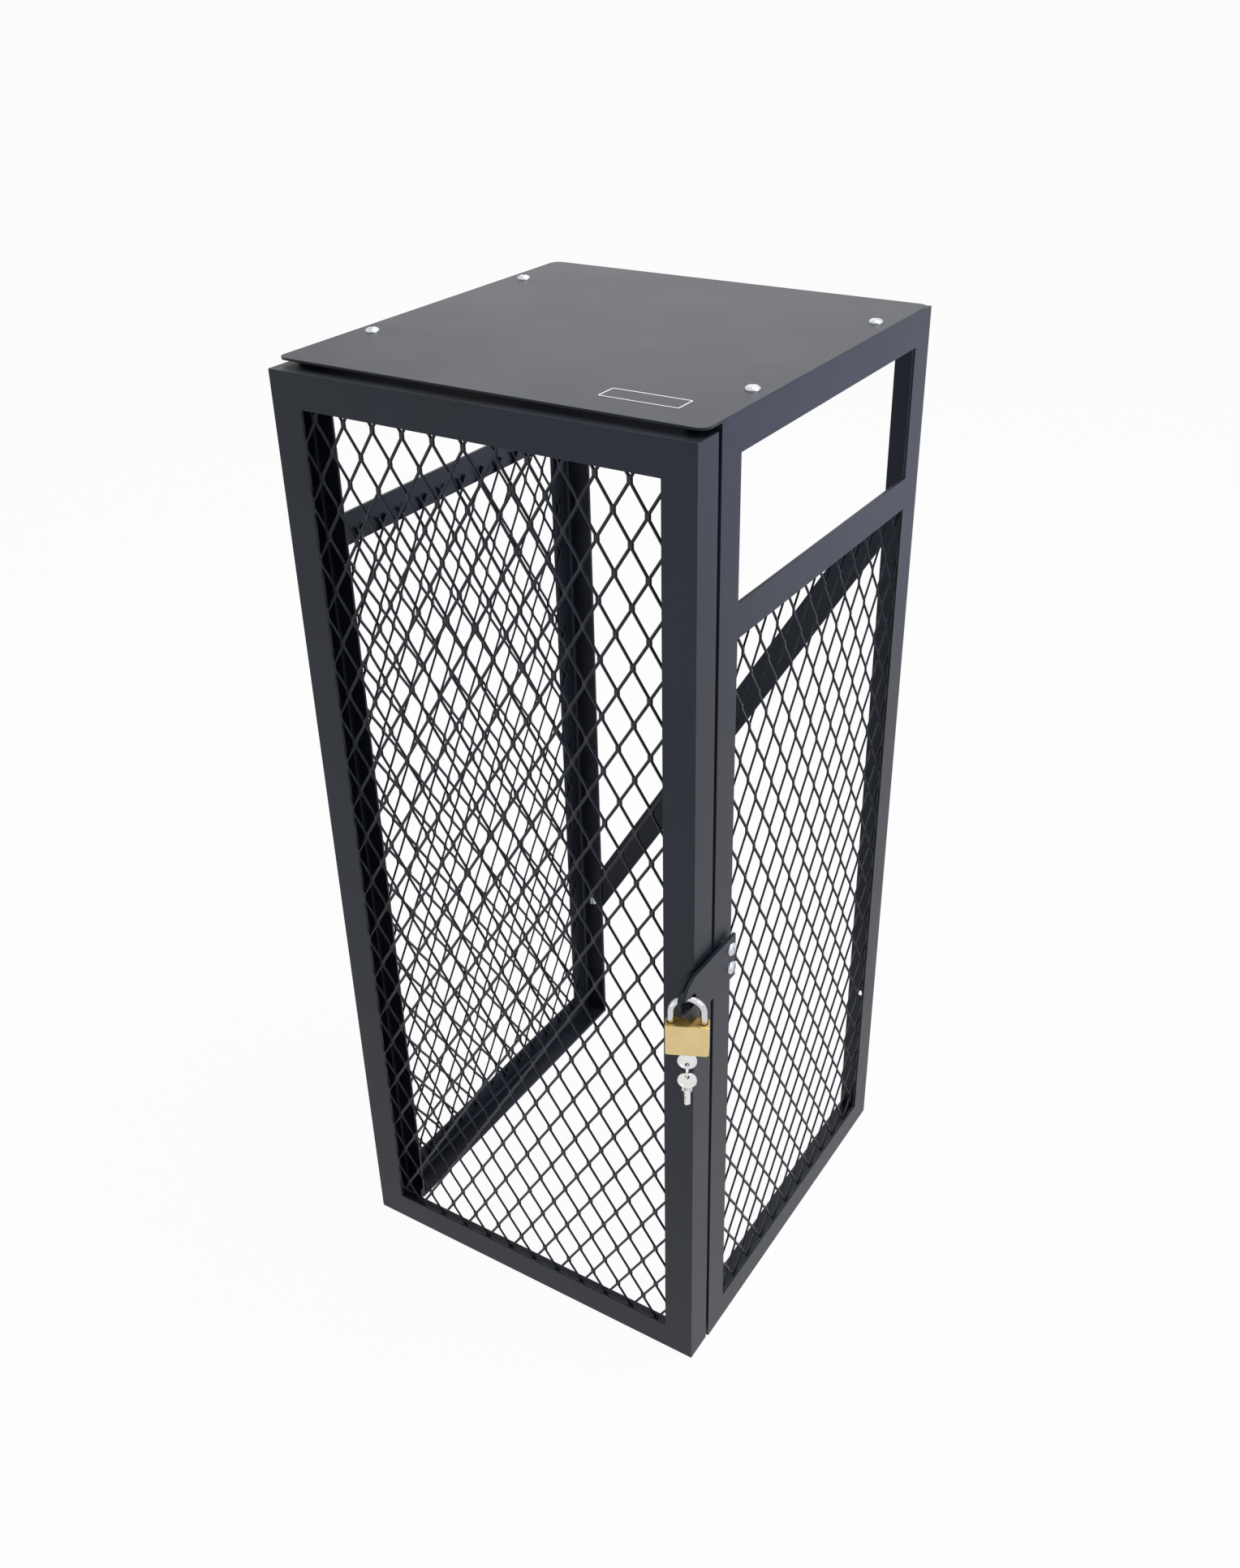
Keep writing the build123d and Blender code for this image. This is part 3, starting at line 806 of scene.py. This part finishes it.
class DressNodes(bpy.types.Operator):
    """Puts the finishes on the bars, sheets, hinges and plates of the frame"""
    bl_idname = "cage.dress_nodes"
    bl_label = "Dress the frame"

    def execute(self, context):
        finish_of = {"black_paint": "paint", "zinc_plate": "zinc", "brass": "brass",
                     "chrome": "chrome", "nickel": "nickel"}
        for part in frame["record"]["subparts"]:
            obj = NODES[part["node"]]
            obj.data.materials.clear()
            obj.data.materials.append(MATERIAL[finish_of[part["material_slot"]]])
        return {"FINISHED"}


# ----------------------------------------------------------------- stage


class MakeStage(bpy.types.Operator):
    """White floor, soft studio lamps, white surroundings and the camera"""
    bl_idname = "cage.stage"
    bl_label = "Stage"

    def execute(self, context):
        scene = bpy.context.scene
        deselect()
        bpy.ops.mesh.primitive_plane_add(size=40)
        floor = bpy.context.object
        floor.name = "studio_floor"
        floor.data.materials.append(matt_floor())

        world = bpy.data.worlds.new("white_studio")
        scene.world = world
        world.use_nodes = True
        tree = world.node_tree
        tree.nodes.clear()
        level = node(tree, "ShaderNodeMapRange", {"To Min": 0.22, "To Max": 1.0},
                     Value=(background_rays(tree), "Value"))
        sky = node(tree, "ShaderNodeBackground", {"Color": (1, 1, 1, 1)},
                   Strength=(level, "Result"))
        out = node(tree, "ShaderNodeOutputWorld")
        tree.links.new(sky.outputs[0], out.inputs["Surface"])

        middle_of_cage = Vector((0, 0, 0.5))
        middle_of_side = Vector((0.2, 0, 0.5))
        for name, at, target, size, power, colour in (
            ("key_softbox", (0.8, 0.5, 3.2), middle_of_cage, 1.6, 60, "f0f0ff"),
            ("rear_softbox", (-1.3, 2.2, 2.2), middle_of_cage, 1.6, 5, "ffffff"),
            ("side_softbox", (3.0, -0.2, 1.7), middle_of_cage, 1.6, 40, "c4d0ff"),
            ("low_front_softbox", (-0.5, -1.6, 0.1), middle_of_cage, 0.8, 3, "c8dbff"),
            ("low_rear_softbox", (1.2, 1.6, 0.3), middle_of_side, 0.8, 2.2, "9ca8ff"),
        ):
            lamp = bpy.data.lights.new(name, "AREA")
            lamp.size = size
            lamp.energy = power
            lamp.color = linear(colour)[:3]
            obj = bpy.data.objects.new(name, lamp)
            scene.collection.objects.link(obj)
            obj.location = at
            obj.rotation_euler = (target - Vector(at)).to_track_quat("-Z", "Y").to_euler()

        # The camera stands where the photograph's perspective puts it.
        az, el, roll = math.radians(32.678), math.radians(30.752), math.radians(1.2796)
        stand = (0.69686, -1.08357, 1.28014)
        focal_px, width_px = 1860.7, 1528
        fwd = Vector((-math.sin(az) * math.cos(el), math.cos(az) * math.cos(el), -math.sin(el)))
        right = Vector((math.cos(az), math.sin(az), 0))
        up = right.cross(fwd)
        cam_x = math.cos(roll) * right - math.sin(roll) * up
        cam_y = math.sin(roll) * right + math.cos(roll) * up
        lens = bpy.data.cameras.new("camera")
        lens.sensor_fit = "HORIZONTAL"
        lens.sensor_width = 36
        lens.lens = focal_px * lens.sensor_width / width_px
        lens.clip_start = 0.05
        lens.clip_end = 100
        cam = bpy.data.objects.new("camera", lens)
        scene.collection.objects.link(cam)
        turn = Matrix((cam_x, cam_y, -fwd)).transposed().to_4x4()
        cam.matrix_world = Matrix.Translation(stand) @ turn
        scene.camera = cam
        scene.view_settings.view_transform = "Standard"
        return {"FINISHED"}


class CagePanel(bpy.types.Panel):
    """The cage's sizes, finishes and makers in the sidebar"""
    bl_idname = "VIEW3D_PT_cage"
    bl_label = "Gas cylinder cage"
    bl_space_type = "VIEW_3D"
    bl_region_type = "UI"
    bl_category = "Cage"

    def draw(self, context):
        for group in (context.scene.cage_sizes, context.scene.cage_finish):
            for name in group.__annotations__:
                self.layout.prop(group, name)
        for maker in MAKERS:
            self.layout.operator(maker.bl_idname)


MAKERS = (MakeFinishes, DressNodes, MakeDoorMesh, MakeSideMeshes, MakeHingeStop, MakeBolts,
          MakePadlock, MakeKeys, MakeLabelPlace, MakeStage)
CLASSES = (CageFinish, CageSizes) + MAKERS + (CagePanel,)


def register():
    for cls in CLASSES:
        bpy.utils.register_class(cls)
    bpy.types.Scene.cage_finish = bpy.props.PointerProperty(type=CageFinish)
    bpy.types.Scene.cage_sizes = bpy.props.PointerProperty(type=CageSizes)


def unregister():
    del bpy.types.Scene.cage_sizes
    del bpy.types.Scene.cage_finish
    for cls in reversed(CLASSES):
        bpy.utils.unregister_class(cls)


def main():
    register()
    bpy.ops.cage.finishes()
    bpy.ops.cage.dress_nodes()
    bpy.ops.cage.door_mesh()
    bpy.ops.cage.side_meshes()
    bpy.ops.cage.hinge_stop()
    bpy.ops.cage.bolts()
    bpy.ops.cage.padlock()
    bpy.ops.cage.keys()
    bpy.ops.cage.label_place()
    bpy.ops.cage.stage()


if __name__ == "__main__":
    main()
